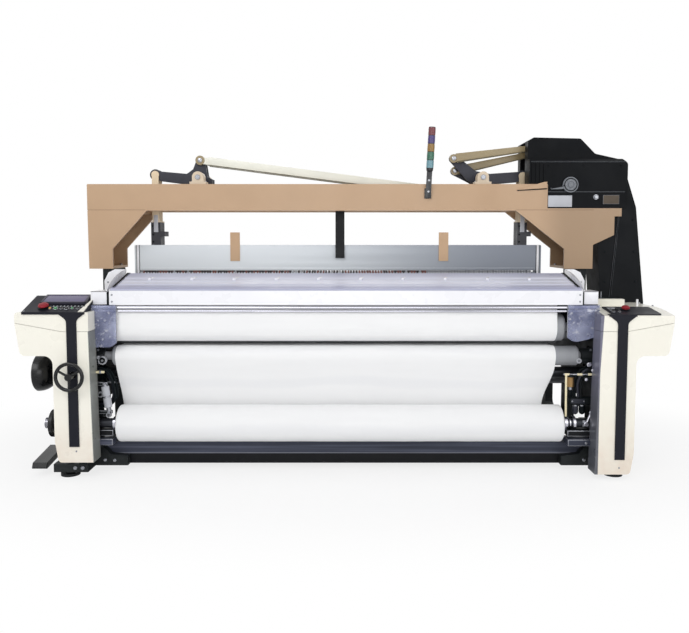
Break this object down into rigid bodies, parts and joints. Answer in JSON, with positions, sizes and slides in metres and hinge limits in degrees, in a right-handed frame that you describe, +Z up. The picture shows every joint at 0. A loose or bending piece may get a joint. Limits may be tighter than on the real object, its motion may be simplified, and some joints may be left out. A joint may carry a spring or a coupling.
{
  "type": "power loom",
  "caption": "Wide shuttleless power loom with cream side columns, cloth roll, heald frames lifted by overhead bell cranks and rods, dobby and warp beam.",
  "frame": {"origin": "on the floor, under the middle of the machine's bounding box", "axes": "+X to the weaver's right along the cloth's width, +Y from the weaver to the warp beam at the back, +Z up"},
  "size_m": [3.4, 1.8, 1.8388],
  "materials": {
    "cover_cream": "satin moulded covers",
    "console_black": "fine textured",
    "frame_black": "dark paint on castings",
    "gantry_tan": "satin paint",
    "fascia_white": "satin paint",
    "splash_lavender": "satin paint",
    "bright_steel": "ground",
    "polished_bar": "polished",
    "roller_grey": "covered roller",
    "cloth_white": "plain weave",
    "yarn_white": "wound yarn",
    "heald_aluminium": "anodised",
    "crank_slate": "dark paint on castings",
    "rod_pale": "satin paint",
    "rod_olive": "satin paint",
    "block_tan": "satin paint on castings",
    "dobby_black": "moulded",
    "stop_red": "gloss",
    "key_green": "gloss",
    "key_black": "gloss",
    "screen_dark": "gloss",
    "guard_clear": "tinted sheet",
    "tower_lens": "lenses on a pole",
    "motor_grey": "painted",
    "foot_steel": "screw feet"
  },
  "bodies": {
    "machine_frame": {"side_frame_left": "frame_black", "side_frame_right": "frame_black", "front_rail": "frame_black", "middle_rail": "frame_black", "breast_beam": "frame_black", "front_fascia": "fascia_white", "guide_bars": "polished_bar", "left_upper_cover": "cover_cream", "left_lower_cover": "cover_cream", "right_upper_cover": "cover_cream", "right_lower_cover": "cover_cream", "left_panel": "console_black", "touch_screen": "screen_dark", "right_panel": "console_black", "gantry_front_beam": "gantry_tan", "gantry_rear_beam": "gantry_tan", "gantry_left_bracket": "gantry_tan", "gantry_right_bracket": "gantry_tan", "centre_guide": "frame_black", "shaft_blocks": "block_tan", "lever_shafts": "bright_steel", "dobby_housing": "dobby_black", "belt_cover": "dobby_black", "signal_tower": "tower_lens", "main_motor": "motor_grey", "levelling_feet": "foot_steel", "side_guards": "guard_clear", "cloth_web": "cloth_white", "warp_sheet": "yarn_white"},
    "splash": {"splash_cover": "splash_lavender"},
    "stop_left": {"e_stop_left": "stop_red"},
    "stop_right": {"e_stop_right": "stop_red"},
    "start_key": {"start_button": "key_green"},
    "halt_key": {"halt_button": "key_black"},
    "right_key": {"right_button": "key_black"},
    "hand_drive": {"handwheel": "frame_black"},
    "main_drive": {"main_shaft": "frame_black"},
    "beat_up": {"sley": "heald_aluminium", "reed": "bright_steel"},
    "warp_supply": {"warp_beam": "bright_steel", "warp_yarn": "yarn_white"},
    "back_rest": {"back_rest_roller": "bright_steel"},
    "take_up": {"take_up_roller": "roller_grey"},
    "press": {"press_roller": "roller_grey"},
    "guide": {"guide_roller": "roller_grey"},
    "cloth_take": {"cloth_roll": "cloth_white", "cloth_roll_shaft": "frame_black"},
    "foot_pedal": {"pedal": "frame_black"},
    "heald_set_a": {"heald_frame_1": "heald_aluminium", "heald_frame_2": "heald_aluminium"},
    "heald_set_b": {"heald_frame_3": "heald_aluminium", "heald_frame_4": "heald_aluminium"},
    "left_lever_a": {"left_crank_a": "crank_slate"},
    "left_lever_b": {"left_crank_b": "crank_slate"},
    "right_lever_a": {"right_crank_a": "crank_slate"},
    "right_lever_b": {"right_crank_b": "crank_slate"},
    "cross_rod_a": {"long_rod_a": "rod_pale"},
    "cross_rod_b": {"long_rod_b": "rod_pale"},
    "drive_rod_a": {"dobby_rod_a": "rod_olive"},
    "drive_rod_b": {"dobby_rod_b": "rod_olive"}
  },
  "joints": [
    {"name": "splash_lift", "type": "hinge", "parent": "machine_frame", "child": "splash", "pos_m": [0, -0.714, 0.959], "axis": [1, 0, 0], "range_deg": [0, 100]},
    {"name": "stop_left_press", "type": "slide", "parent": "machine_frame", "child": "stop_left", "axis": [0, 0.342, -0.9397], "range_m": [0, 0.004], "stiffness_N_per_m": 1500},
    {"name": "stop_right_press", "type": "slide", "parent": "machine_frame", "child": "stop_right", "axis": [0, 0.1458, -0.9893], "range_m": [0, 0.004], "stiffness_N_per_m": 1500},
    {"name": "start_press", "type": "slide", "parent": "machine_frame", "child": "start_key", "axis": [0, 0.342, -0.9397], "range_m": [0, 0.003], "stiffness_N_per_m": 600},
    {"name": "halt_press", "type": "slide", "parent": "machine_frame", "child": "halt_key", "axis": [0, 0.342, -0.9397], "range_m": [0, 0.003], "stiffness_N_per_m": 600},
    {"name": "right_press", "type": "slide", "parent": "machine_frame", "child": "right_key", "axis": [0, 0.1458, -0.9893], "range_m": [0, 0.003], "stiffness_N_per_m": 600},
    {"name": "handwheel_spin", "type": "hinge", "parent": "machine_frame", "child": "hand_drive", "pos_m": [-1.365, -0.884, 0.538], "axis": [0, 1, 0], "continuous": true},
    {"name": "main_shaft_spin", "type": "hinge", "parent": "machine_frame", "child": "main_drive", "pos_m": [0, -0.5, 0.492], "axis": [1, 0, 0], "continuous": true},
    {"name": "sley_swing", "type": "hinge", "parent": "machine_frame", "child": "beat_up", "pos_m": [0, -0.33, 0.43], "axis": [1, 0, 0], "range_deg": [-5, 5]},
    {"name": "warp_beam_spin", "type": "hinge", "parent": "machine_frame", "child": "warp_supply", "pos_m": [0, 0.5, 0.44], "axis": [1, 0, 0], "continuous": true},
    {"name": "back_rest_spin", "type": "hinge", "parent": "machine_frame", "child": "back_rest", "pos_m": [0, 0.72, 0.887], "axis": [1, 0, 0], "continuous": true},
    {"name": "take_up_spin", "type": "hinge", "parent": "machine_frame", "child": "take_up", "pos_m": [0, -0.642, 0.76], "axis": [1, 0, 0], "continuous": true},
    {"name": "press_spin", "type": "hinge", "parent": "machine_frame", "child": "press", "pos_m": [0, -0.54059, 0.70145], "axis": [1, 0, 0], "continuous": true},
    {"name": "guide_spin", "type": "hinge", "parent": "machine_frame", "child": "guide", "pos_m": [0, -0.648, 0.608], "axis": [1, 0, 0], "continuous": true},
    {"name": "cloth_roll_spin", "type": "hinge", "parent": "machine_frame", "child": "cloth_take", "pos_m": [0, -0.683, 0.256], "axis": [1, 0, 0], "continuous": true},
    {"name": "pedal_tilt", "type": "hinge", "parent": "machine_frame", "child": "foot_pedal", "pos_m": [-1.5685, -0.56, 0.085], "axis": [1, 0, 0], "range_deg": [0, 8], "stiffness_Nm_per_rad": 25, "springref_deg": -20.05},
    {"name": "shed_lift_a", "type": "slide", "parent": "machine_frame", "child": "heald_set_a", "axis": [0, 0, 1], "range_m": [-0.045, 0.045]},
    {"name": "left_crank_turn_a", "type": "hinge", "parent": "machine_frame", "child": "left_lever_a", "pos_m": [-0.819, -0.238, 1.566], "axis": [0, 1, 0], "range_deg": [-10.2, 10.2]},
    {"name": "right_crank_turn_a", "type": "hinge", "parent": "machine_frame", "child": "right_lever_a", "pos_m": [0.774, -0.238, 1.566], "axis": [0, 1, 0], "range_deg": [-11, 11]},
    {"name": "cross_rod_turn_a", "type": "hinge", "parent": "left_lever_a", "child": "cross_rod_a", "pos_m": [-0.827, -0.254, 1.671], "axis": [0, 1, 0], "range_deg": [-10.2, 10.2]},
    {"name": "drive_rod_turn_a", "type": "hinge", "parent": "right_lever_a", "child": "drive_rod_a", "pos_m": [0.626, -0.254, 1.682], "axis": [0, 1, 0], "range_deg": [-7.6, 7.6]},
    {"name": "shed_lift_b", "type": "slide", "parent": "machine_frame", "child": "heald_set_b", "axis": [0, 0, 1], "range_m": [-0.045, 0.045]},
    {"name": "left_crank_turn_b", "type": "hinge", "parent": "machine_frame", "child": "left_lever_b", "pos_m": [-0.819, -0.19, 1.566], "axis": [0, 1, 0], "range_deg": [-10.2, 10.2]},
    {"name": "right_crank_turn_b", "type": "hinge", "parent": "machine_frame", "child": "right_lever_b", "pos_m": [0.774, -0.19, 1.566], "axis": [0, 1, 0], "range_deg": [-11, 11]},
    {"name": "cross_rod_turn_b", "type": "hinge", "parent": "left_lever_b", "child": "cross_rod_b", "pos_m": [-0.827, -0.206, 1.671], "axis": [0, 1, 0], "range_deg": [-10.2, 10.2]},
    {"name": "drive_rod_turn_b", "type": "hinge", "parent": "right_lever_b", "child": "drive_rod_b", "pos_m": [0.642, -0.206, 1.616], "axis": [0, 1, 0], "range_deg": [-7.9, 7.9]}
  ],
  "couplings": [
    {"joint": "back_rest_spin", "follows": "warp_beam_spin", "ratio": 5.5},
    {"joint": "press_spin", "follows": "take_up_spin", "ratio": -1.7381},
    {"joint": "guide_spin", "follows": "take_up_spin", "ratio": 1.4039},
    {"joint": "cloth_roll_spin", "follows": "take_up_spin", "ratio": -0.76042},
    {"joint": "left_crank_turn_a", "follows": "shed_lift_a", "rad_per_m": 3.6556},
    {"joint": "right_crank_turn_a", "follows": "shed_lift_a", "rad_per_m": -3.9403},
    {"joint": "cross_rod_turn_a", "follows": "shed_lift_a", "rad_per_m": -3.6577},
    {"joint": "drive_rod_turn_a", "follows": "shed_lift_a", "rad_per_m": 2.7178},
    {"joint": "left_crank_turn_b", "follows": "shed_lift_b", "rad_per_m": 3.6556},
    {"joint": "right_crank_turn_b", "follows": "shed_lift_b", "rad_per_m": -3.9403},
    {"joint": "cross_rod_turn_b", "follows": "shed_lift_b", "rad_per_m": -3.6577},
    {"joint": "drive_rod_turn_b", "follows": "shed_lift_b", "rad_per_m": 2.8121}
  ]
}
